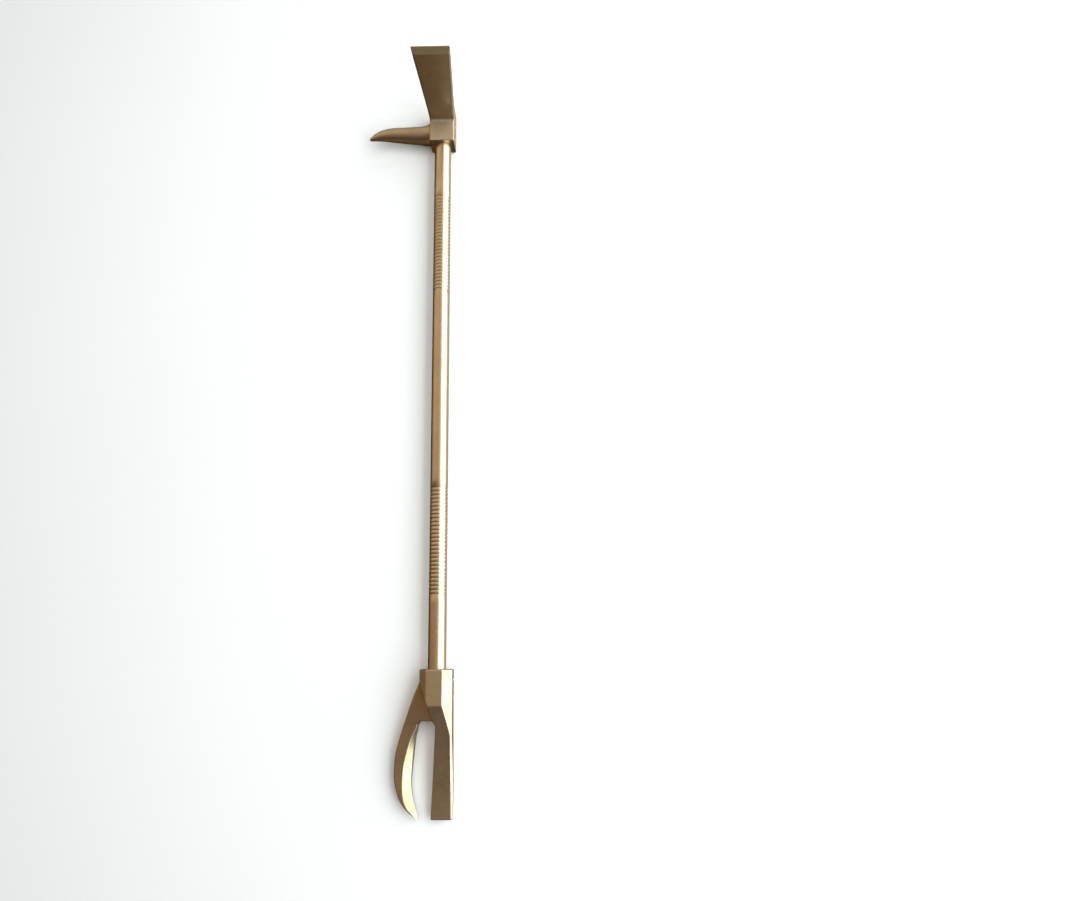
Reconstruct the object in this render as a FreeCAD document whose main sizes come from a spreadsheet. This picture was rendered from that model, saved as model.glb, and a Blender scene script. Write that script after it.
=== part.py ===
import FreeCAD, Part
import math
import os
import Sketcher

# Halligan bar, in millimetres. The bar lies along Y with its head at +Y and its fork at -Y.
# The adze points up (+Z), the pick points to -X, and the origin is on the bar's axis, halfway
# along the smooth length between the two ribbed grips.

DRIVING = {
    # the whole tool
    "overall_length": 1066.8,
    "tip_reach": 608.0,
    "socket_clearance": 0.05,
    # bar and its two ribbed grips
    "shaft_diameter": 25.4,
    "shaft_end_gap": 0.5,
    "shaft_end_chamfer": 1.5,
    "smooth_length": 300.0,
    "groove_pitch": 5.64,
    "groove_count": 28,
    "groove_width": 2.6,
    "groove_depth": 0.45,
    # square block of the head
    "block_width": 38.1,
    "block_length": 62.5,
    "block_edge": 1.2,
    "head_socket_depth": 50.0,
    # adze: root on the block's top face, cutting edge at its far end
    "adze_length": 148.4,
    "adze_sink": 4.0,
    "adze_root_near": 36.0,
    "adze_root_far": 60.5,
    "adze_tip_near": 57.6,
    "adze_tip_far": 59.0,
    "adze_tip_width": 56.8,
    "adze_bevel_length": 11.5,
    "adze_bevel_near": 52.8,
    "adze_chamfer": 2.4,
    "adze_chamfer_least": 0.1,
    "adze_chamfer_fade": 8.0,
    "adze_root_fillet": 4.5,
    # claw: eight-sided collar, straight tine and cutting arm
    "claw_length": 200.0,
    "collar_width": 45.72,
    "collar_height": 44.4,
    "collar_cut_right": 13.0,
    "collar_cut_left": 9.9,
    "collar_rim": 1.5,
    "claw_socket_depth": 52.0,
    "wedge_start": 49.0,
    "wedge_radius": 860.0,
    "tip_top": -8.0,
    "heel_start": 60.0,
    "heel_radius": 1010.0,
    "tip_bottom": -12.4,
    "tine_outer_tip": 24.0,
    "tine_inner_tip": -8.0,
    "tine_inner_root": 0.0,
    "crotch_depth": 69.5,
    "crotch_corner": 8.0,
    "crotch_left": -26.5,
    "gap_run_out": 5.0,
    "crease_start": 20.7,
    "crease_end": 67.7,
    "crease_end_x": -4.0,
    "tine_edge_at": 20.2,
    "tine_edge_cut": 8.0,
    "tine_flare_start": 80.0,
    "forging_floor": -24.0,
    "crease_bury": 14.0,
    "crease_sink": 10.0,
    "mouth_lean": 6.5,
    # cross pins: a slotted spring pin with a smaller one inside it
    "outer_pin_diameter": 10.0,
    "outer_pin_wall": 2.0,
    "outer_pin_slot": 1.6,
    "inner_pin_wall": 1.2,
    "inner_pin_slot": 1.0,
    "pin_chamfer": 0.6,
    "pin_recess": 0.6,
    "head_pin_length": 36.0,
    "claw_pin_length": 40.0,
    "pin_hole_spare": 1.0,
    "head_pin_near": 12.0,
    "head_pin_far": 36.0,
    "claw_pin_near": 14.0,
    "claw_pin_far": 38.0,
}

# Cross-sections of the pick, from inside the block to its point. Each has its distance from the
# bar's axis, its middle above the block's fork-facing face, and its half-sizes along and across
# the bar.
PICK_WORDS = ("reach", "middle", "along", "across")
PICK_SECTIONS = [
    (12.0, 20.5, 19.4, 17.6),
    (19.2, 20.3, 18.3, 16.8),
    (23.0, 19.7, 16.4, 15.2),
    (28.0, 19.2, 15.1, 14.2),
    (36.0, 19.1, 14.2, 13.4),
    (46.0, 19.4, 13.5, 12.7),
    (58.0, 19.9, 12.7, 11.8),
    (70.0, 20.6, 11.9, 10.8),
    (82.0, 21.0, 11.0, 9.6),
    (92.0, 20.6, 9.6, 8.1),
    (101.0, 19.3, 7.8, 6.4),
    (108.0, 17.3, 5.8, 4.7),
    (113.0, 15.2, 3.7, 3.0),
    (116.0, 13.2, 1.6, 1.3),
]

# Cross-sections of the arm's root, which fills in from the collar's left side to the crotch.
# Each has its distance from the collar's end, the outer wall's x, the height of the top edge of
# that wall, the x and height of the crease where it meets the collar and the tine, and the size
# of the slope cut along the wall's foot.
ROOT_WORDS = ("at", "wall", "wall_top", "crease", "crease_top", "foot")
ROOT_SECTIONS = [
    (16.0, -22.2, 10.4, -21.2, 11.0, 12.0),
    (30.0, -29.0, 7.4, -19.4, 10.6, 11.0),
    (47.0, -35.6, 4.9, -12.6, 10.2, 9.0),
    (60.0, -40.2, 3.0, -7.2, 9.8, 7.6),
    (72.0, -44.4, 1.3, -2.0, 9.2, 6.8),
]

# Cross-sections of the cutting arm: distance from the collar's end, the outer wall's x and the
# height of its top edge, the x and height of the ridge, the x and height of the sharp edge, and
# the size of the slope cut along the wall's foot.
ARM_WORDS = ("at", "wall", "wall_top", "ridge", "ridge_top", "edge", "edge_top", "foot")
ARM_SECTIONS = [
    (70.0, -43.7, 1.6, -25.8, 4.9, -24.6, 4.2, 6.9),
    (78.0, -46.4, 0.5, -27.2, 3.4, -26.4, 2.5, 7.0),
    (90.0, -50.4, -0.9, -33.4, 1.1, -29.4, -3.5, 6.9),
    (108.0, -55.4, -3.0, -39.8, -1.5, -31.6, -7.7, 7.0),
    (130.0, -58.3, -5.2, -45.2, -4.2, -33.6, -10.4, 7.4),
    (150.0, -57.8, -6.8, -46.9, -6.0, -34.7, -11.5, 8.3),
    (168.0, -53.3, -7.8, -46.4, -7.2, -33.0, -11.9, 9.5),
    (183.0, -45.2, -8.5, -42.2, -8.2, -29.2, -12.0, 10.7),
    (192.0, -36.4, -9.1, -34.8, -8.9, -26.6, -12.1, 11.4),
    (200.0, -28.4, -9.7, -27.8, -9.5, -26.0, -12.0, 11.9),
]

doc = FreeCAD.newDocument("halligan_bar")
dims = doc.addObject("Spreadsheet::Sheet", "dims")


def fill_sheet():
    """Write every driving dimension to the sheet, with its name beside it."""
    cells = dict(DRIVING)
    families = (
        ("pick", PICK_WORDS, PICK_SECTIONS),
        ("root", ROOT_WORDS, ROOT_SECTIONS),
        ("arm", ARM_WORDS, ARM_SECTIONS),
    )
    for family, words, rows in families:
        for at, row in enumerate(rows):
            for word, number in zip(words, row):
                cells[f"{family}_{word}_{at}"] = number
    for line, (alias, number) in enumerate(cells.items(), 1):
        dims.set(f"A{line}", alias)
        dims.set(f"B{line}", str(number))
        dims.setAlias(f"B{line}", alias)
    doc.recompute()


def value(formula):
    """The number that a formula of the sheet's cells gives."""
    return float(dims.evalExpression(formula))


def new_body(label):
    body = doc.addObject("PartDesign::Body", label)
    body.Label = label
    return body


def new_sketch(body, name, role, offset=None, turn=0):
    """A sketch on one of the body's own origin planes, moved along its normal by offset.

    turn is how far the sketch is turned in its plane, in degrees.
    """
    sketch = body.newObject("Sketcher::SketchObject", name)
    plane = next(item for item in body.Origin.OriginFeatures if item.Role == role)
    sketch.AttachmentSupport = [(plane, "")]
    sketch.MapMode = "FlatFace"
    if turn:
        rotation = FreeCAD.Rotation(FreeCAD.Vector(0, 0, 1), turn)
        sketch.AttachmentOffset = FreeCAD.Placement(FreeCAD.Vector(0, 0, 0), rotation)
    if offset:
        sketch.setExpression("AttachmentOffset.Base.z", offset)
    return sketch


def bind(sketch, kind, where, formula):
    """A dimension of the sketch that follows a formula of the sheet."""
    at = sketch.addConstraint(Sketcher.Constraint(kind, *where, value(formula)))
    name = f"size_{at}"
    sketch.renameConstraint(at, name)
    sketch.setExpression(f"Constraints.{name}", formula)


def arc_through(start, end, radius):
    """The short arc from start to end. A positive radius turns left on the way."""
    middle = (start + end) * 0.5
    half = (end - start) * 0.5
    left = FreeCAD.Vector(-half.y, half.x, 0).normalize()
    rise = math.sqrt(radius**2 - half.Length**2)
    centre = middle + left * math.copysign(rise, radius)
    circle = Part.Circle(centre, FreeCAD.Vector(0, 0, 1), abs(radius))
    first, last = (start, end) if radius > 0 else (end, start)
    turns = [math.atan2(spot.y - centre.y, spot.x - centre.x) for spot in (first, last)]
    return Part.ArcOfCircle(circle, turns[0], turns[1])


def draw_outline(sketch, corners, bends=None):
    """A closed outline through corners, each a pair of formulas.

    bends gives the signed radius of an edge that is an arc, by the number of the corner where
    it starts. Every corner and radius stays bound to the sheet.
    """
    bends = bends or {}
    base = sketch.GeometryCount
    spots = [FreeCAD.Vector(value(x), value(y), 0) for x, y in corners]
    ends = []
    for at, start in enumerate(spots):
        end = spots[(at + 1) % len(spots)]
        if at in bends:
            radius = value(bends[at])
            sketch.addGeometry(arc_through(start, end, radius))
            ends.append((1, 2) if radius > 0 else (2, 1))
        else:
            sketch.addGeometry(Part.LineSegment(start, end))
            ends.append((1, 2))
    for at, (x, y) in enumerate(corners):
        after = (at + 1) % len(corners)
        joint = (base + at, ends[at][1], base + after, ends[after][0])
        sketch.addConstraint(Sketcher.Constraint("Coincident", *joint))
        bind(sketch, "DistanceX", (-1, 1, base + at, ends[at][0]), x)
        bind(sketch, "DistanceY", (-1, 1, base + at, ends[at][0]), y)
    for at, radius in bends.items():
        sign = "" if value(radius) > 0 else "-"
        bind(sketch, "Radius", (base + at,), f"{sign}({radius})")


def draw_circle(sketch, x, y, radius):
    centre = FreeCAD.Vector(value(x), value(y), 0)
    circle = Part.Circle(centre, FreeCAD.Vector(0, 0, 1), value(radius))
    at = sketch.addGeometry(circle)
    bind(sketch, "DistanceX", (-1, 1, at, 3), x)
    bind(sketch, "DistanceY", (-1, 1, at, 3), y)
    bind(sketch, "Radius", (at,), radius)


def draw_ellipse(sketch, y, tall, wide):
    """An ellipse centred on x = 0, with half-sizes tall along y and wide along x, tall > wide."""
    centre = FreeCAD.Vector(0, value(y), 0)
    top = centre + FreeCAD.Vector(0, value(tall), 0)
    side = centre + FreeCAD.Vector(value(wide), 0, 0)
    at = sketch.addGeometry(Part.Ellipse(top, side, centre))
    sketch.exposeInternalGeometry(at)
    sketch.addConstraint(Sketcher.Constraint("PointOnObject", at, 3, -2))
    sketch.addConstraint(Sketcher.Constraint("Vertical", at + 1))
    bind(sketch, "DistanceY", (-1, 1, at, 3), y)
    bind(sketch, "Distance", (at + 1,), f"2 * {tall}")
    bind(sketch, "Distance", (at + 2,), f"2 * {wide}")


def feature(body, kind, name, sketch, **settings):
    """A feature made from a sketch. Text settings are formulas, and others are plain values."""
    item = body.newObject(f"PartDesign::{kind}", name)
    item.Profile = sketch
    for key, setting in settings.items():
        if isinstance(setting, str) and key in ("Length", "Length2", "Angle"):
            item.setExpression(key, setting)
        else:
            setattr(item, key, setting)
    return item


def cut(body, kind, name, sketch, **settings):
    """A feature that must take material away."""
    doc.recompute()
    before = body.Shape.Volume
    item = feature(body, kind, name, sketch, **settings)
    doc.recompute()
    if not body.Shape.Volume < before - 1e-6:
        raise RuntimeError(f"{body.Label}: {name} cuts nothing")
    return item


def loft(body, kind, name, sketches, ruled=False):
    item = body.newObject(f"PartDesign::{kind}Loft", name)
    item.Profile = sketches[0]
    item.Sections = sketches[1:]
    item.Ruled = ruled
    doc.recompute()
    return item


def edges_where(shape, wanted):
    """Names of the edges whose two ends and middle all satisfy wanted."""
    names = []
    for number, edge in enumerate(shape.Edges, 1):
        low, high = edge.ParameterRange
        spots = [edge.valueAt(low), edge.valueAt((low + high) / 2), edge.valueAt(high)]
        if all(wanted(spot) for spot in spots):
            names.append(f"Edge{number}")
    return names


def dress(body, kind, name, size_key, size, wanted):
    """A fillet or chamfer on the edges that satisfy wanted."""
    doc.recompute()
    base = body.Tip
    names = edges_where(base.Shape, wanted)
    if not names:
        raise RuntimeError(f"{body.Label}: {name} finds no edge")
    item = body.newObject(f"PartDesign::{kind}", name)
    item.Base = (base, names)
    item.setExpression(size_key, size)
    doc.recompute()


def near(number, target, slack=0.02):
    return abs(number - target) < slack


def pin_holes(body, name, side, length, places, sign):
    """Blind cross holes, drilled in from the +X side face at each place along the bar."""
    for at, place in enumerate(places):
        sketch = new_sketch(body, f"{name}_{at}_sketch", "YZ_Plane", side)
        draw_circle(sketch, f"{sign}{place}", "0", "dims.outer_pin_diameter / 2")
        cut(body, "Pocket", f"{name}_{at}", sketch, Length=length)


def make_ribs(body, band, start):
    """Grooves turned around the bar, the first at start and the rest toward +Y."""
    crest = "dims.shaft_diameter / 2"
    half = "dims.groove_width / 2"
    bow = f"(({half})^2 + dims.groove_depth^2) / (2 * dims.groove_depth)"
    ring = new_sketch(body, f"{band}_groove_profile", "XY_Plane")
    draw_outline(
        ring,
        [
            (f"{crest} + dims.groove_depth", f"{start} - {half}"),
            (f"{crest} + dims.groove_depth", f"{start} + {half}"),
            (crest, f"{start} + {half}"),
            (crest, f"{start} - {half}"),
        ],
        {2: bow},
    )
    groove = cut(
        body, "Groove", f"{band}_groove", ring, Angle=360, ReferenceAxis=(ring, ["V_Axis"])
    )
    pattern = body.newObject("PartDesign::LinearPattern", f"{band}_ribs")
    pattern.Originals = [groove]
    pattern.Direction = (ring, ["V_Axis"])
    pattern.setExpression("Length", "dims.groove_pitch * (dims.groove_count - 1)")
    pattern.setExpression("Occurrences", "dims.groove_count")
    body.Tip = pattern
    doc.recompute()


def make_shaft():
    """Round bar with two bands of turned ribs and a cross hole for each pin."""
    body = new_body("shaft")
    low = "-dims.tip_reach + dims.claw_length - dims.claw_socket_depth + dims.shaft_end_gap"
    high = (
        "dims.overall_length - dims.tip_reach - dims.block_length + dims.head_socket_depth"
        " - dims.shaft_end_gap"
    )
    wall = "dims.shaft_diameter / 2"
    rim = "dims.shaft_end_chamfer"
    profile = new_sketch(body, "bar_profile", "XY_Plane")
    draw_outline(
        profile,
        [
            ("0", low),
            (f"{wall} - {rim}", low),
            (wall, f"{low} + {rim}"),
            (wall, f"{high} - {rim}"),
            (f"{wall} - {rim}", high),
            ("0", high),
        ],
    )
    bar = feature(body, "Revolution", "bar", profile, Angle=360)
    bar.ReferenceAxis = (profile, ["V_Axis"])
    for band, start in (
        ("lower", "-dims.smooth_length / 2 - dims.groove_pitch * (dims.groove_count - 0.5)"),
        ("upper", "dims.smooth_length / 2 + dims.groove_pitch / 2"),
    ):
        make_ribs(body, band, start)
    face = "dims.overall_length - dims.tip_reach - dims.block_length"
    collar = "dims.claw_length - dims.tip_reach"
    places = [
        f"{face} + dims.head_pin_near",
        f"{face} + dims.head_pin_far",
        f"{collar} - dims.claw_pin_near",
        f"{collar} - dims.claw_pin_far",
    ]
    for at, place in enumerate(places):
        sketch = new_sketch(body, f"cross_hole_{at}_sketch", "YZ_Plane")
        draw_circle(sketch, place, "0", "dims.outer_pin_diameter / 2")
        cut(body, "Pocket", f"cross_hole_{at}", sketch, Type="ThroughAll", SideType="Symmetric")
    return body


def chamfer_adze(body, side_name, sign):
    """Cut away one long edge of the adze's fork-facing side. The cut fades out at the root."""
    side = "dims.block_width / 2"
    root = f"({side} + dims.adze_root_fillet)"
    bevel = f"({side} + dims.adze_length - dims.adze_bevel_length)"
    tip = f"({side} + dims.adze_length)"
    fade = "dims.adze_chamfer_fade"
    flare = f"(dims.adze_tip_width / 2 - {side}) / dims.adze_length"
    lean = f"(dims.adze_bevel_near - dims.adze_root_near) / ({bevel} - {root})"
    stations = (
        (root, "dims.adze_root_near", "dims.adze_chamfer_least"),
        (f"({root} + {fade})", f"dims.adze_root_near + {lean} * {fade}", "dims.adze_chamfer"),
        (bevel, "dims.adze_bevel_near", "dims.adze_chamfer"),
        (tip, "dims.adze_tip_near", "dims.adze_chamfer_least"),
    )
    cuts = []
    for at, (height, near_face, size) in enumerate(stations):
        flank = f"({side} + {flare} * ({height} - {side}))"
        sketch = new_sketch(body, f"adze_{side_name}_edge_{at}", "XY_Plane", height)
        draw_outline(
            sketch,
            [
                (f"{sign}({flank} - {size})", near_face),
                (f"{sign}({flank} - {size})", f"{near_face} - {size}"),
                (f"{sign}({flank} + {size})", f"{near_face} - {size}"),
                (f"{sign}({flank} + {size})", f"{near_face} + {size}"),
                (f"{sign}{flank}", f"{near_face} + {size}"),
            ],
        )
        cuts.append(sketch)
    loft(body, "Subtractive", f"adze_{side_name}_edge", cuts, True)


def make_head():
    """Square block with the adze on its top face and the pick on its left face."""
    body = new_body("head")
    side = "dims.block_width / 2"
    block_sketch = new_sketch(body, "block_sketch", "XZ_Plane")
    draw_outline(
        block_sketch,
        [(f"-{side}", f"-{side}"), (side, f"-{side}"), (side, side), (f"-{side}", side)],
    )
    feature(body, "Pad", "block", block_sketch, Length="dims.block_length", Reversed=True)
    width = value("dims.block_width") / 2
    length = value("dims.block_length")
    dress(
        body, "Fillet", "block_edges", "Radius", "dims.block_edge",
        lambda spot: near(abs(spot.x), width) and near(abs(spot.z), width)
        or near(spot.y, length) and (near(abs(spot.x), width) or near(abs(spot.z), width)),
    )
    foot = f"{side} - dims.adze_sink"
    tip = f"{side} + dims.adze_length"
    bend = "dims.adze_root_fillet"
    blade = new_sketch(body, "adze_profile", "YZ_Plane")
    draw_outline(
        blade,
        [
            (f"dims.adze_root_near - {bend}", foot),
            ("dims.adze_root_far", foot),
            ("dims.adze_root_far", f"{tip} - dims.adze_bevel_length"),
            ("dims.adze_tip_far", tip),
            ("dims.adze_tip_near", tip),
            ("dims.adze_bevel_near", f"{tip} - dims.adze_bevel_length"),
            ("dims.adze_root_near", f"{side} + {bend}"),
            (f"dims.adze_root_near - {bend}", side),
        ],
        {6: f"-{bend}"},
    )
    feature(body, "Pad", "adze", blade, Length="dims.adze_tip_width", Midplane=True)
    flanks = new_sketch(body, "adze_flanks", "XZ_Plane")
    wide = "dims.adze_tip_width"
    for sign in ("", "-"):
        draw_outline(
            flanks,
            [
                (f"{sign}{side}", foot),
                (f"{sign}{side}", side),
                (f"{sign}{wide} / 2", tip),
                (f"{sign}{wide}", tip),
                (f"{sign}{wide}", foot),
            ],
        )
    cut(body, "Pocket", "adze_taper", flanks, Type="ThroughAll", SideType="Symmetric")
    for side_name, sign in (("right", ""), ("left", "-")):
        chamfer_adze(body, side_name, sign)
    horn = []
    for at in range(len(PICK_SECTIONS)):
        sketch = new_sketch(body, f"pick_{at}", "YZ_Plane", f"-dims.pick_reach_{at}", turn=90)
        half_sizes = (f"dims.pick_along_{at}", f"dims.pick_across_{at}")
        draw_ellipse(sketch, f"-dims.pick_middle_{at}", *half_sizes)
        horn.append(sketch)
    loft(body, "Additive", "pick", horn)
    socket = new_sketch(body, "socket_sketch", "XZ_Plane")
    draw_circle(socket, "0", "0", "dims.shaft_diameter / 2 + dims.socket_clearance")
    cut(body, "Pocket", "socket", socket, Length="dims.head_socket_depth", Reversed=False)
    depth = "dims.head_pin_length + dims.pin_recess + dims.pin_hole_spare"
    pin_holes(body, "pin_hole", side, depth, ("dims.head_pin_near", "dims.head_pin_far"), "")
    body.setExpression("Placement.Base.y", "dims.overall_length - dims.tip_reach - dims.block_length")
    return body


def side_cuts():
    """The wedge's top and the heel's underside, as areas to cut away in side view."""
    half = "dims.collar_height / 2"
    clear = "dims.collar_height"
    start = "-dims.wedge_start"
    tip = "-dims.claw_length"
    beyond = "-dims.claw_length - dims.gap_run_out"
    top = [
        (start, half),
        (tip, "dims.tip_top"),
        (beyond, "dims.tip_top"),
        (beyond, clear),
        (start, clear),
    ]
    top_bends = {0: "-dims.wedge_radius"}
    heel = "-dims.heel_start"
    bottom = [
        (heel, f"-{half}"),
        (tip, "dims.tip_bottom"),
        (beyond, "dims.tip_bottom"),
        (beyond, f"-{clear}"),
        (heel, f"-{clear}"),
    ]
    bottom_bends = {0: "-dims.heel_radius"}
    return (top, top_bends), (bottom, bottom_bends)


def make_claw():
    """Eight-sided collar with a straight tine and a bowed cutting arm.

    The body's own origin is the middle of the collar's open end, and it reaches along -Y.
    """
    body = new_body("claw")
    half = "dims.collar_width / 2"
    tall = "dims.collar_height / 2"
    tip = "-dims.claw_length"
    plan = new_sketch(body, "tine_plan", "XY_Plane")
    draw_outline(
        plan,
        [
            (f"-{half}", "0"),
            (f"-{half}", "-dims.crease_start"),
            ("dims.crease_end_x", "-dims.crease_end"),
            ("dims.tine_inner_tip + dims.crease_end_x", tip),
            ("dims.tine_outer_tip", tip),
            (half, "-dims.tine_flare_start"),
            (half, "0"),
        ],
    )
    feature(body, "Pad", "tine", plan, Length="dims.collar_height", Midplane=True)
    (top, top_bends), (bottom, bottom_bends) = side_cuts()
    wedge = new_sketch(body, "wedge_side", "YZ_Plane")
    draw_outline(wedge, top, top_bends)
    cut(body, "Pocket", "wedge", wedge, Type="ThroughAll", SideType="Symmetric")
    bevels = new_sketch(body, "collar_cuts", "XZ_Plane")
    for side, cut_size in (("", "dims.collar_cut_right"), ("-", "dims.collar_cut_left")):
        for level in ("", "-"):
            draw_outline(
                bevels,
                [
                    (f"{side}({half} - {cut_size})", f"{level}({tall})"),
                    (f"{side}({half} - {cut_size})", f"{level}({tall} + {cut_size})"),
                    (f"{side}({half} + {cut_size})", f"{level}({tall} + {cut_size})"),
                    (f"{side}({half} + {cut_size})", f"{level}({tall} - {cut_size})"),
                    (f"{side}({half})", f"{level}({tall} - {cut_size})"),
                ],
            )
    cut(body, "Pocket", "collar_corners", bevels, Type="ThroughAll", SideType="Symmetric")
    rim = new_sketch(body, "tine_edge_side", "YZ_Plane", "dims.tine_edge_at")
    draw_outline(rim, top, top_bends)
    cut(
        body, "Pocket", "tine_edge", rim, Length="dims.tine_edge_cut",
        UseCustomVector=True, Direction=FreeCAD.Vector(1, 0, -1),
    )
    dress(
        body, "Chamfer", "collar_rim", "Size", "dims.collar_rim",
        lambda spot: near(spot.y, 0),
    )
    floor = "dims.forging_floor"
    root = []
    for at in range(len(ROOT_SECTIONS)):
        sketch = new_sketch(body, f"root_{at}", "XZ_Plane", f"dims.root_at_{at}")
        wall, crease, foot = f"dims.root_wall_{at}", f"dims.root_crease_{at}", f"dims.root_foot_{at}"
        draw_outline(
            sketch,
            [
                (wall, f"dims.root_wall_top_{at}"),
                (wall, f"{floor} + {foot}"),
                (f"{wall} + {foot}", floor),
                (f"{crease} + dims.crease_bury", floor),
                (f"{crease} + dims.crease_bury", f"dims.root_crease_top_{at} - dims.crease_sink"),
                (crease, f"dims.root_crease_top_{at}"),
            ],
        )
        root.append(sketch)
    loft(body, "Additive", "arm_root", root)
    arm = []
    for at in range(len(ARM_SECTIONS)):
        sketch = new_sketch(body, f"arm_{at}", "XZ_Plane", f"dims.arm_at_{at}")
        wall, edge, foot = f"dims.arm_wall_{at}", f"dims.arm_edge_{at}", f"dims.arm_foot_{at}"
        draw_outline(
            sketch,
            [
                (wall, f"dims.arm_wall_top_{at}"),
                (wall, f"{floor} + {foot}"),
                (f"{wall} + {foot}", floor),
                (edge, floor),
                (edge, f"dims.arm_edge_top_{at}"),
                (f"dims.arm_ridge_{at}", f"dims.arm_ridge_top_{at}"),
            ],
        )
        arm.append(sketch)
    loft(body, "Additive", "cutting_arm", arm)
    heel = new_sketch(body, "heel_side", "YZ_Plane")
    draw_outline(heel, bottom, bottom_bends)
    cut(body, "Pocket", "heel", heel, Type="ThroughAll", SideType="Symmetric")
    sole = new_sketch(body, "sole_side", "YZ_Plane")
    draw_outline(
        sole,
        [
            ("dims.gap_run_out", f"-{tall}"),
            ("dims.gap_run_out", f"-{tall} * 2"),
            (tip, f"-{tall} * 2"),
            (tip, f"-{tall}"),
        ],
    )
    cut(body, "Pocket", "sole", sole, Type="ThroughAll", SideType="Symmetric")
    gap = new_sketch(body, "gap_plan", "XY_Plane")
    corner = "dims.crotch_corner"
    depth = "dims.crotch_depth"
    mouth = f"{tip} - dims.gap_run_out"
    draw_outline(
        gap,
        [
            ("dims.tine_inner_root", f"-({depth} + {corner})"),
            (f"dims.tine_inner_root - {corner}", f"-{depth}"),
            (f"dims.crotch_left + {corner}", f"-{depth}"),
            ("dims.crotch_left", f"-({depth} + {corner})"),
            ("dims.crotch_left + dims.mouth_lean", mouth),
            ("dims.tine_inner_tip", mouth),
        ],
        {0: corner, 2: corner},
    )
    cut(body, "Pocket", "gap", gap, Type="ThroughAll", SideType="Symmetric")
    socket = new_sketch(body, "socket_sketch", "XZ_Plane")
    draw_circle(socket, "0", "0", "dims.shaft_diameter / 2 + dims.socket_clearance")
    cut(body, "Pocket", "socket", socket, Length="dims.claw_socket_depth", Reversed=True)
    reach = "dims.claw_pin_length + dims.pin_recess + dims.pin_hole_spare"
    pin_holes(body, "pin_hole", half, reach, ("dims.claw_pin_near", "dims.claw_pin_far"), "-")
    body.setExpression("Placement.Base.y", "dims.claw_length - dims.tip_reach")
    return body


def make_pin(label, radius, wall, slot, length, side, place, turn):
    """A slotted spring pin along X, driven in from the +X side. turn is where its slot faces."""
    body = new_body(label)
    ring = new_sketch(body, f"{label}_ring", "XY_Plane")
    draw_circle(ring, "0", "0", radius)
    draw_circle(ring, "0", "0", f"{radius} - {wall}")
    feature(body, "Pad", f"{label}_tube", ring, Length=length, Midplane=True)
    gap = new_sketch(body, f"{label}_slot_sketch", "XY_Plane")
    draw_outline(
        gap,
        [
            (f"-{slot} / 2", "0"),
            (f"{slot} / 2", "0"),
            (f"{slot} / 2", f"{radius} * 2"),
            (f"-{slot} / 2", f"{radius} * 2"),
        ],
    )
    cut(body, "Pocket", f"{label}_slot", gap, Type="ThroughAll", SideType="Symmetric")
    end = value(length) / 2
    rim = value(radius)
    dress(
        body, "Chamfer", f"{label}_ends", "Size", "dims.pin_chamfer",
        lambda spot: near(abs(spot.z), end) and near(math.hypot(spot.x, spot.y), rim),
    )
    across = FreeCAD.Rotation(FreeCAD.Vector(0, 1, 0), 90)
    roll = FreeCAD.Rotation(FreeCAD.Vector(0, 0, 1), turn)
    body.Placement = FreeCAD.Placement(FreeCAD.Vector(0, 0, 0), across.multiply(roll))
    body.setExpression("Placement.Base.x", f"{side} - dims.pin_recess - {length} / 2")
    body.setExpression("Placement.Base.y", place)
    return body


def make_pins():
    """Two cross pins at the head and two at the claw, each a pair of nested spring pins."""
    face = "dims.overall_length - dims.tip_reach - dims.block_length"
    collar = "dims.claw_length - dims.tip_reach"
    outer = "dims.outer_pin_diameter / 2"
    bore = f"({outer} - dims.outer_pin_wall)"
    pins = []
    for end, side, start in (
        ("head", "dims.block_width / 2", f"{face} +"),
        ("claw", "dims.collar_width / 2", f"{collar} -"),
    ):
        length = f"dims.{end}_pin_length"
        outer_sizes = (outer, "dims.outer_pin_wall", "dims.outer_pin_slot", length)
        inner_sizes = (bore, "dims.inner_pin_wall", "dims.inner_pin_slot", length)
        for seat in (f"{end}_pin_near", f"{end}_pin_far"):
            place = f"{start} dims.{seat}"
            pins.append(make_pin(f"{seat}_outer", *outer_sizes, side, place, 0))
            pins.append(make_pin(f"{seat}_inner", *inner_sizes, side, place, 180))
    return pins


def check_document():
    """Stop if anything in the document failed."""
    for item in doc.Objects:
        if "Invalid" in item.State or "Error" in item.State:
            raise RuntimeError(f"{item.Label} failed: {item.State}")


def write_parts(bodies):
    os.makedirs("parts", exist_ok=True)
    for body in bodies:
        shape = body.Shape
        if shape.isNull() or not shape.isValid() or len(shape.Solids) != 1:
            raise RuntimeError(f"{body.Label} isn't one valid solid")
        shape.exportStep(f"parts/{body.Label}.step")
        print(f"{body.Label}: {shape.Volume / 1000:.1f} cm3")


fill_sheet()
pieces = [make_shaft(), make_head(), make_claw(), *make_pins()]
doc.recompute()
check_document()
write_parts(pieces)
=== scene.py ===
import math

import bmesh
import bpy
from mathutils import Euler, Matrix, Vector, noise


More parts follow.
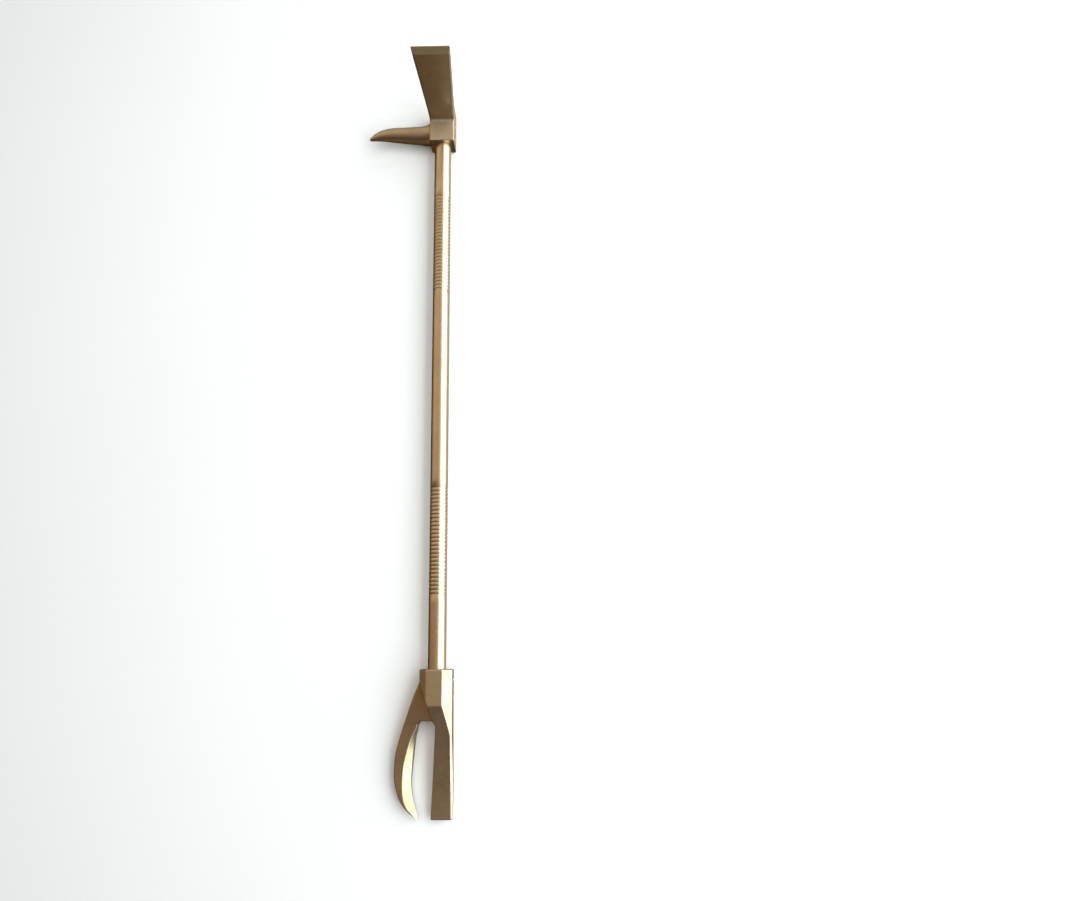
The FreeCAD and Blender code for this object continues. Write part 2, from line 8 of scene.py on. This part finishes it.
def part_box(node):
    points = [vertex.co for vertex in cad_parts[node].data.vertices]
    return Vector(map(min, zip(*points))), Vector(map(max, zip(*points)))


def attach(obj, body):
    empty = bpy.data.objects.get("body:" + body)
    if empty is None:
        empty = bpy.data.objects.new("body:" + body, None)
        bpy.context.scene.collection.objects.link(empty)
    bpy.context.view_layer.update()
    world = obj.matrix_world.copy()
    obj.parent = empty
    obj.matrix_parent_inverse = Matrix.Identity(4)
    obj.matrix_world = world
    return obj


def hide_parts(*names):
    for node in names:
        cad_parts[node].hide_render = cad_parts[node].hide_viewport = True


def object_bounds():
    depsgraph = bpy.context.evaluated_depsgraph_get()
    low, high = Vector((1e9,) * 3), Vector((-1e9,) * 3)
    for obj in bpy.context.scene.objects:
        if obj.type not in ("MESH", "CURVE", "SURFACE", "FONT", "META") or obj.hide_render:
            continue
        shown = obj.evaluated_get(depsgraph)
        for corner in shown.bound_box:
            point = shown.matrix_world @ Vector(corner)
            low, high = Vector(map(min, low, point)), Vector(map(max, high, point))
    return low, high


# Looks of the halligan bar, in metres, in the row's frame: the bar lies along Y with its head at
# +Y and its fork at -Y, the adze points up and the pick points to -X.

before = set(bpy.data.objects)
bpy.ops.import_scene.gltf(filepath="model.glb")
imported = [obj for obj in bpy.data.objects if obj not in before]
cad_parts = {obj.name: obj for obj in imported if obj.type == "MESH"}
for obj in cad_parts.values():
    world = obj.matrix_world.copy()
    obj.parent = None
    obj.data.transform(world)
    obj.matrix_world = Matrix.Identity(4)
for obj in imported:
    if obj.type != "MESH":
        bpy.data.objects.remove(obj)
cad_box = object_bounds()

MM = 0.001

# bar and its two ribbed grips
SMOOTH_LENGTH = 300 * MM
GROOVE_PITCH = 5.64 * MM
GROOVE_COUNT = 28
GROOVE_WIDTH = 2.6 * MM
GROOVE_DEPTH = 0.45 * MM
GROOVE_STEPS = 6
SHAFT_CHAMFER = 1.5 * MM
ROW_SPACING = 12 * MM
SHAFT_SIDES = 96
HOLE_SIDES = 32
PIN_NODES = [
    f"{end}_pin_{place}_{layer}"
    for end in ("head", "claw")
    for place in ("near", "far")
    for layer in ("outer", "inner")
]

# forgings: size of the mesh's cells, and how much their edges are softened
HEAD_CELL = 0.7 * MM
CLAW_CELL = 0.72 * MM
SOFTEN_PASSES = 4
SOFTEN_FACTOR = 0.5
MERGE_DISTANCE = 0.002 * MM
DENT_DEPTH = 0.10 * MM
DENT_SCALES = ((1 / (22 * MM), 0.7), (1 / (8 * MM), 0.3))

# where the plate is duller or ground away, each as where it fades in and where it is full
MATT_ROUGHNESS = 0.24
BLOCK_START = (396 * MM, 398 * MM)
BLOCK_LEFT = (-22 * MM, -19 * MM)
BLOCK_TOP = (29 * MM, 24 * MM)
ADZE_BEVEL = (155.4 * MM, 156.2 * MM)
ARM_BEVEL = (-480 * MM, -488 * MM)
ARM_SIDE = (-20 * MM, -22 * MM)
BARE_STEEL = (0.70, 0.60, 0.40)
BARE_STEEL_DARK = (0.56, 0.48, 0.31)

# how much darker the plate's colour is where it is stained or spotted, and where painted shade
# darkens its creases
STAIN_SHADE = 0.84
SPOT_SHADE = 0.6
CREASE_PAINTED_SHADE = 0.3

# floor and studio lights
FLOOR_REACH = 6.0
FLOOR_SHADES = ((0.80, 0.79, 0.77), (0.84, 0.83, 0.81))
KEY_PLACE = (1.3, 0.5, 0.8)
KEY_AIM = (0, 0.5, 0)
KEY_SIZE = (4.2, 2.15)
KEY_POWER = 100
KEY_COLOUR = (0.86, 0.95, 1.0)
FILL_PLACE = (0, 0, 3.0)
FILL_SIZE = (4.0, 4.0)
FILL_POWER = 84
FILL_COLOUR = (1.0, 0.985, 0.96)

# surroundings that the metal mirrors, nearer the fork and nearer the head
OVERHEAD = ((0.45, 0.358, 0.258), (0.70, 0.61, 0.50))
LEFT_SIDE = ((0.18, 0.095, 0.034), (0.80, 0.65, 0.44))
DARK_FRONT = (0.04, 0.03, 0.02)
EARTH = (0.19, 0.13, 0.075)
EARTH_UNDER = (0.03, 0.016, 0.008)
PALE_GROUND = (0.62, 0.60, 0.50)

# camera
LENS_LENGTH = 30.9
SENSOR_WIDTH = 36
LENS_SHIFT = (0.0016, 0.0019)
CAMERA_PLACE = (0.161, -0.396, 1.332)
CAMERA_TILTS = (12.48, 0.5, -0.83)


def material(name):
    """A new node material, with its shader and a place for its nodes."""
    made = bpy.data.materials.new(name)
    made.use_nodes = True
    return made, made.node_tree, made.node_tree.nodes["Principled BSDF"]


def add(tree, kind, **settings):
    """A node of the tree. Settings named in_X fill its input X, and others are its own."""
    node = tree.nodes.new(f"ShaderNode{kind}")
    for key, setting in settings.items():
        if key.startswith("in_"):
            node.inputs[key[3:].replace("_", " ")].default_value = setting
        else:
            setattr(node, key, setting)
    return node


def object_point(tree, stretch=(1, 1, 1)):
    """The surface point in the object's own metres, stretched along each axis."""
    point = add(tree, "TexCoord")
    mapping = add(tree, "Mapping")
    mapping.inputs["Scale"].default_value = stretch
    tree.links.new(point.outputs["Object"], mapping.inputs["Vector"])
    return mapping.outputs["Vector"]


def noise_of(tree, point, size, detail=3.0, roughness=0.55):
    """Noise whose patches are about size metres across."""
    node = add(tree, "TexNoise", in_Scale=1 / size, in_Detail=detail, in_Roughness=roughness)
    tree.links.new(point, node.inputs["Vector"])
    return node.outputs["Fac"]


def ramp(tree, factor, *stops):
    """A ramp from factor through stops, each a position and a number or a colour."""
    node = add(tree, "ValToRGB")
    band = node.color_ramp
    while len(band.elements) < len(stops):
        band.elements.new(0.5)
    for element, (at, shade) in zip(band.elements, stops):
        element.position = at
        element.color = (*shade, 1) if isinstance(shade, tuple) else (shade, shade, shade, 1)
    tree.links.new(factor, node.inputs["Fac"])
    return node.outputs["Color"]


def mix(tree, factor, first, second):
    """Two colours mixed by a socket or a number."""
    node = add(tree, "Mix", data_type="RGBA")
    sockets = (node.inputs[0], node.inputs[6], node.inputs[7])
    for socket, given in zip(sockets, (factor, first, second)):
        if isinstance(given, bpy.types.NodeSocket):
            tree.links.new(given, socket)
        elif isinstance(given, tuple):
            socket.default_value = (*given, 1)
        else:
            socket.default_value = given
    return node.outputs[2]


def combine(tree, operation, first, second):
    """Arithmetic on two sockets or numbers."""
    node = add(tree, "Math", operation=operation)
    for socket, given in zip(node.inputs, (first, second)):
        if isinstance(given, bpy.types.NodeSocket):
            tree.links.new(given, socket)
        else:
            socket.default_value = given
    return node.outputs[0]


def between(tree, factor, start, end):
    """From 0 to 1 as the factor goes from start to end."""
    span = add(tree, "MapRange", interpolation_type="SMOOTHSTEP")
    span.inputs["From Min"].default_value = start
    span.inputs["From Max"].default_value = end
    tree.links.new(factor, span.inputs["Value"])
    return span.outputs["Result"]


def bump(tree, height, distance, strength, under=None):
    """A surface normal raised by a height, over another normal if there is one."""
    node = add(tree, "Bump", in_Distance=distance, in_Strength=strength)
    tree.links.new(height, node.inputs["Height"])
    if under:
        tree.links.new(under, node.inputs["Normal"])
    return node.outputs["Normal"]


def plated_metal(name, fresh, worn, gloss, grain, peel, matt=None, ground=None):
    """Satin nickel plate: cloudy colour, worn high edges, painted shade in its creases, fine
    scratches and a grain.

    gloss is its lowest and highest roughness, grain how the fine scratches are stretched along
    each axis, and peel the depth of its slight orange-peel surface. matt and ground make the
    factors of the faces that are duller and of those ground bare.
    """
    made, tree, shader = material(name)
    shader.inputs["Metallic"].default_value = 1.0
    clouds = noise_of(tree, object_point(tree), 45 * MM, 4.0)
    specks = noise_of(tree, object_point(tree), 4 * MM, 5.0, 0.65)
    scratches = noise_of(tree, object_point(tree, grain), 1.0, 2.0, 0.5)
    stain = ramp(tree, clouds, (0.36, 0.0), (0.66, 1.0))
    colour = mix(tree, stain, fresh, tuple(part * STAIN_SHADE for part in fresh))
    spots = ramp(tree, specks, (0.58, 0.0), (0.74, 0.35))
    colour = mix(tree, spots, colour, tuple(part * SPOT_SHADE for part in fresh))
    edges = add(tree, "NewGeometry")
    high = ramp(tree, edges.outputs["Pointiness"], (0.53, 0.0), (0.60, 1.0))
    colour = mix(tree, high, colour, worn)
    # painted shade: the plate's colour is darkened in hollow creases and corners, where shade
    # would fall
    painted_crease_shade = ramp(tree, edges.outputs["Pointiness"], (0.42, 1.0), (0.485, 0.0))
    colour = mix(tree, painted_crease_shade, colour, tuple(part * CREASE_PAINTED_SHADE for part in fresh))
    dull = ramp(tree, clouds, (0.30, gloss[0]), (0.70, gloss[1]))
    scratched = ramp(tree, scratches, (0.45, 0.0), (0.75, 0.10))
    rough = combine(tree, "ADD", dull, scratched)
    rough = combine(tree, "ADD", rough, combine(tree, "MULTIPLY", spots, 0.25))
    surface = bump(tree, specks, peel, 0.5)
    surface = bump(tree, scratches, 0.01 * MM, 0.6, surface)
    if matt:
        rough = combine(tree, "ADD", rough, combine(tree, "MULTIPLY", matt(tree), MATT_ROUGHNESS))
    if ground:
        bare = ground(tree)
        lines = grind_lines(tree)
        steel = mix(tree, lines, BARE_STEEL, BARE_STEEL_DARK)
        colour = mix(tree, bare, colour, steel)
        rough = mix(tree, bare, rough, ramp(tree, lines, (0.3, 0.40), (0.7, 0.52)))
        surface = bump(tree, combine(tree, "MULTIPLY", lines, bare), 0.02 * MM, 0.6, surface)
    tree.links.new(colour, shader.inputs["Base Color"])
    tree.links.new(rough, shader.inputs["Roughness"])
    tree.links.new(surface, shader.inputs["Normal"])
    return made


def place_and_facing(tree):
    """The surface point and the way the surface faces, each as x, y and z sockets."""
    spot = add(tree, "TexCoord")
    parts = []
    for kind in ("Object", "Normal"):
        split = add(tree, "SeparateXYZ")
        tree.links.new(spot.outputs[kind], split.inputs["Vector"])
        parts.append(split.outputs)
    return parts


def block_faces(tree):
    """The head's block and the adze's root, which are duller than the blades."""
    point, facing = place_and_facing(tree)
    outward = combine(tree, "MAXIMUM", facing["Z"], facing["X"])
    along = combine(tree, "MULTIPLY", between(tree, point["Y"], *BLOCK_START), outward)
    inside = combine(tree, "MULTIPLY", along, between(tree, point["X"], *BLOCK_LEFT))
    return combine(tree, "MULTIPLY", inside, between(tree, point["Z"], *BLOCK_TOP))


def ground_bevels(tree):
    """The adze's tip bevel and the cutting arm's bevel."""
    point, facing = place_and_facing(tree)
    toward_fork = between(tree, facing["Y"], -0.3, -0.7)
    tip = combine(tree, "MULTIPLY", between(tree, point["Z"], *ADZE_BEVEL), toward_fork)
    rightward = between(tree, facing["X"], 0.10, 0.22)
    upward = between(tree, facing["Z"], 0.2, 0.4)
    inner = combine(tree, "MULTIPLY", rightward, upward)
    past_root = between(tree, point["Y"], *ARM_BEVEL)
    on_arm = between(tree, point["X"], *ARM_SIDE)
    arm = combine(tree, "MULTIPLY", past_root, on_arm)
    return combine(tree, "ADD", tip, combine(tree, "MULTIPLY", inner, arm))


def grind_lines(tree):
    """Fine grinding marks, across the adze at the head and across the arm at the fork."""
    across_adze = noise_of(tree, object_point(tree, (1400, 60, 60)), 1.0, 3.0)
    across_arm = noise_of(tree, object_point(tree, (60, 1400, 60)), 1.0, 3.0)
    point, _ = place_and_facing(tree)
    return mix(tree, between(tree, point["Y"], -0.01, 0.01), across_arm, across_adze)


def make_shaft_plate():
    """Plate over the turned bar: its scratches run around it."""
    return plated_metal(
        "shaft_plate_finish",
        fresh=(0.62, 0.49, 0.34),
        worn=(0.80, 0.70, 0.56),
        gloss=(0.26, 0.36),
        grain=(120, 2600, 120),
        peel=0.02 * MM,
    )


def make_forging_plate():
    """Plate over the forgings: slightly uneven, with scratches along the bar."""
    return plated_metal(
        "forging_plate_finish",
        fresh=(0.54, 0.43, 0.30),
        worn=(0.82, 0.74, 0.60),
        gloss=(0.24, 0.36),
        grain=(1500, 90, 400),
        peel=0.05 * MM,
        matt=block_faces,
        ground=ground_bevels,
    )


def make_spring_steel():
    """Dark phosphated steel of the cross pins, with dry lighter specks."""
    made, tree, shader = material("spring_steel_finish")
    shader.inputs["Metallic"].default_value = 0.9
    specks = noise_of(tree, object_point(tree), 0.8 * MM, 4.0)
    drawn = noise_of(tree, object_point(tree, (60, 2200, 2200)), 1.0, 2.0)
    dry = ramp(tree, specks, (0.4, 0.0), (0.7, 1.0))
    colour = mix(tree, dry, (0.09, 0.085, 0.08), (0.20, 0.185, 0.165))
    tree.links.new(colour, shader.inputs["Base Color"])
    tree.links.new(ramp(tree, drawn, (0.3, 0.38), (0.7, 0.60)), shader.inputs["Roughness"])
    surface = bump(tree, drawn, 0.01 * MM, 0.5, bump(tree, specks, 0.02 * MM, 0.6))
    tree.links.new(surface, shader.inputs["Normal"])
    return made


def new_piece(name, mesh, finish):
    """An object of the scene that rides on the tool and takes the given finish."""
    piece = bpy.data.objects.new(name, mesh)
    bpy.context.collection.objects.link(piece)
    mesh.materials.clear()
    mesh.materials.append(finish)
    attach(piece, "root")
    return piece


def with_modifiers(piece):
    """Swap the piece's mesh for what its modifiers make of it."""
    context = bpy.context.evaluated_depsgraph_get()
    shaped = bpy.data.meshes.new_from_object(piece.evaluated_get(context))
    piece.modifiers.clear()
    piece.data = shaped


def groove_rows(middle, radius):
    """Rows of one groove, from one lip to the other: an arc as deep as the groove."""
    bow = ((GROOVE_WIDTH / 2) ** 2 + GROOVE_DEPTH**2) / (2 * GROOVE_DEPTH)
    swing = math.asin(GROOVE_WIDTH / 2 / bow)
    rows = []
    for step in range(GROOVE_STEPS + 1):
        angle = swing * (2 * step / GROOVE_STEPS - 1)
        depth = bow * math.cos(angle) - (bow - GROOVE_DEPTH)
        rows.append((middle + bow * math.sin(angle), radius - depth))
    return rows


def shaft_rows(low, high, radius):
    """The bar's outline as rows, each a place along the bar and a radius."""
    rows = [(low, 0), (low, radius - SHAFT_CHAMFER), (low + SHAFT_CHAMFER, radius)]
    first = SMOOTH_LENGTH / 2 + GROOVE_PITCH / 2
    middles = [first + GROOVE_PITCH * at for at in range(GROOVE_COUNT)]
    for middle in [-place for place in reversed(middles)] + middles:
        rows += groove_rows(middle, radius)
    rows += [(high - SHAFT_CHAMFER, radius), (high, radius - SHAFT_CHAMFER), (high, 0)]
    return filled(rows)


def filled(rows):
    """The rows with others evenly between any two that are far apart along the bar."""
    full = rows[:1]
    for (start, inner), (end, outer) in zip(rows, rows[1:]):
        steps = max(1, round((end - start) / ROW_SPACING))
        for step in range(1, steps + 1):
            part = step / steps
            full.append((start + (end - start) * part, inner + (outer - inner) * part))
    return full


def drill(piece, node):
    """Cut a pin's hole right through the piece, along X and as wide as the pin."""
    low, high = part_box(node)
    radius = (high[2] - low[2]) / 2
    reach = 2 * (high[0] - low[0])
    middle = Matrix.Translation((0, (low[1] + high[1]) / 2, (low[2] + high[2]) / 2))
    along_x = middle @ Matrix.Rotation(math.radians(90), 4, "Y")
    work = bmesh.new()
    bmesh.ops.create_cone(
        work, cap_ends=True, segments=HOLE_SIDES, radius1=radius, radius2=radius, depth=reach,
        matrix=along_x,
    )
    mesh = bpy.data.meshes.new(f"{node}_bore")
    work.to_mesh(mesh)
    work.free()
    cutter = bpy.data.objects.new(f"{node}_bore", mesh)
    bpy.context.collection.objects.link(cutter)
    hole = piece.modifiers.new("hole", "BOOLEAN")
    hole.operation = "DIFFERENCE"
    hole.solver = "EXACT"
    hole.object = cutter
    with_modifiers(piece)
    bpy.data.objects.remove(cutter)


def make_shaft(finish):
    """The round bar, turned from its outline, with ribs and the pins' cross holes."""
    low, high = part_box("shaft")
    work = bmesh.new()
    rings = []
    for place, radius in shaft_rows(low[1], high[1], high[0]):
        sides = SHAFT_SIDES if radius else 1
        turns = [2 * math.pi * at / sides for at in range(sides)]
        spots = [(radius * math.cos(turn), place, radius * math.sin(turn)) for turn in turns]
        rings.append([work.verts.new(spot) for spot in spots])
    for before, after in zip(rings, rings[1:]):
        for at in range(SHAFT_SIDES):
            corners = [before[at % len(before)], before[(at + 1) % len(before)]]
            corners += [after[(at + 1) % len(after)], after[at % len(after)]]
            work.faces.new(list(dict.fromkeys(corners)))
    bmesh.ops.recalc_face_normals(work, faces=work.faces)
    mesh = bpy.data.meshes.new("ribbed_shaft")
    work.to_mesh(mesh)
    work.free()
    piece = new_piece("ribbed_shaft", mesh, finish)
    for node in PIN_NODES:
        if node.endswith("outer"):
            drill(piece, node)
    piece.data.shade_smooth()
    piece.data.set_sharp_from_angle(angle=math.radians(40))
    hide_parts("shaft")
    return piece


def dent(piece):
    """Press shallow forging unevenness into the surface, inward only."""
    mesh = piece.data
    normals = [vertex.normal.copy() for vertex in mesh.vertices]
    for vertex, normal in zip(mesh.vertices, normals):
        wave = sum(weight * noise.noise(vertex.co * scale) for scale, weight in DENT_SCALES)
        vertex.co -= normal * (DENT_DEPTH * (0.5 + 0.5 * wave))


def make_forging(node, name, cell, finish):
    """A forging: the CAD shape with its edges softened and its faces slightly uneven."""
    work = bmesh.new()
    work.from_mesh(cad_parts[node].data)
    bmesh.ops.remove_doubles(work, verts=work.verts, dist=MERGE_DISTANCE)
    mesh = bpy.data.meshes.new(name)
    work.to_mesh(mesh)
    work.free()
    piece = new_piece(name, mesh, finish)
    cells = piece.modifiers.new("cells", "REMESH")
    cells.mode = "VOXEL"
    cells.voxel_size = cell
    soft = piece.modifiers.new("softened", "SMOOTH")
    soft.factor = SOFTEN_FACTOR
    soft.iterations = SOFTEN_PASSES
    with_modifiers(piece)
    dent(piece)
    piece.data.shade_smooth()
    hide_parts(node)
    return piece


def finish_pins(finish):
    """The cross pins keep their CAD shape and get the look of spring steel."""
    for node in PIN_NODES:
        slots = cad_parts[node].data.materials
        for at in range(len(slots)):
            slots[at] = finish


def make_floor():
    """A plain pale floor just under the tool. The metal doesn't mirror it."""
    low = cad_box[0][2]
    work = bmesh.new()
    far = FLOOR_REACH
    corners = [(-far, -far), (far, -far), (far, far), (-far, far)]
    work.faces.new([work.verts.new((x, y, low)) for x, y in corners])
    mesh = bpy.data.meshes.new("floor")
    work.to_mesh(mesh)
    work.free()
    floor = bpy.data.objects.new("floor", mesh)
    bpy.context.collection.objects.link(floor)
    made, tree, shader = material("floor_paint")
    patches = noise_of(tree, object_point(tree), 0.5, 3.0)
    shade = mix(tree, patches, *FLOOR_SHADES)
    tree.links.new(shade, shader.inputs["Base Color"])
    shader.inputs["Roughness"].default_value = 0.9
    mesh.materials.append(made)
    floor.visible_glossy = False


def soft_light(name, place, toward, size, power, colour, mirrored):
    """A rectangular studio light. One that isn't mirrored doesn't show in the metal."""
    lamp = bpy.data.lights.new(name, "AREA")
    lamp.shape = "RECTANGLE"
    lamp.size, lamp.size_y = size
    lamp.energy = power
    lamp.color = colour
    holder = bpy.data.objects.new(name, lamp)
    bpy.context.collection.objects.link(holder)
    holder.location = place
    aim = Vector(toward) - Vector(place)
    holder.rotation_euler = aim.to_track_quat("-Z", "Y").to_euler()
    holder.visible_camera = False
    holder.visible_glossy = mirrored
    return holder


def make_lights():
    """A long soft key on the right, which makes the bar's highlight, and an even top fill."""
    soft_light("key", KEY_PLACE, KEY_AIM, KEY_SIZE, KEY_POWER, KEY_COLOUR, True)
    soft_light("fill", FILL_PLACE, (0, 0, 0), FILL_SIZE, FILL_POWER, FILL_COLOUR, False)


def make_world():
    """Warm, dim surroundings: tan on the left, dark in front, brown below.

    Only the metal shows them. They don't light the floor.
    """
    world = bpy.data.worlds.new("surroundings")
    bpy.context.scene.world = world
    world.use_nodes = True
    tree = world.node_tree
    shader = tree.nodes["Background"]
    way = add(tree, "TexCoord").outputs["Generated"]

    def facing(axis, start, end):
        """From 0 to 1 as the direction turns toward axis."""
        dot = add(tree, "VectorMath", operation="DOT_PRODUCT")
        tree.links.new(way, dot.inputs[0])
        dot.inputs[1].default_value = Vector(axis).normalized()
        return between(tree, dot.outputs["Value"], start, end)

    overhead = mix(tree, facing((0, 1, 0), -0.1, 0.6), *OVERHEAD)
    side = mix(tree, facing((0, 1, 0), -0.18, 0.31), *LEFT_SIDE)
    shade = mix(tree, facing((-1, 0, 0.25), 0.4, 0.8), overhead, side)
    shade = mix(tree, facing((0.25, -1, 0.47), 0.49, 0.93), shade, DARK_FRONT)
    earth = mix(tree, facing((-0.3, 0.2, -1), 0.58, 0.85), EARTH, EARTH_UNDER)
    ground = mix(tree, facing((1, 0.6, -0.4), 0.2, 0.8), earth, PALE_GROUND)
    shade = mix(tree, facing((0, 0, -1), -0.05, 0.30), shade, ground)
    tree.links.new(shade, shader.inputs["Color"])
    shader.inputs["Strength"].default_value = 1.0
    world.cycles_visibility.diffuse = False


def make_camera():
    """The camera stands over the bar, nearer the fork, and looks down at it."""
    lens = bpy.data.cameras.new("camera")
    lens.lens = LENS_LENGTH
    lens.sensor_width = SENSOR_WIDTH
    lens.shift_x, lens.shift_y = LENS_SHIFT
    camera = bpy.data.objects.new("camera", lens)
    bpy.context.collection.objects.link(camera)
    camera.location = CAMERA_PLACE
    camera.rotation_mode = "ZYX"
    tilts = [math.radians(turn) for turn in CAMERA_TILTS]
    camera.rotation_euler = Euler(tilts, "ZYX")
    bpy.context.scene.camera = camera


make_shaft(make_shaft_plate())
forging_plate = make_forging_plate()
make_forging("head", "forged_head", HEAD_CELL, forging_plate)
make_forging("claw", "forged_claw", CLAW_CELL, forging_plate)
finish_pins(make_spring_steel())
make_floor()
make_lights()
make_world()
make_camera()
bpy.context.scene.view_settings.view_transform = "Standard"
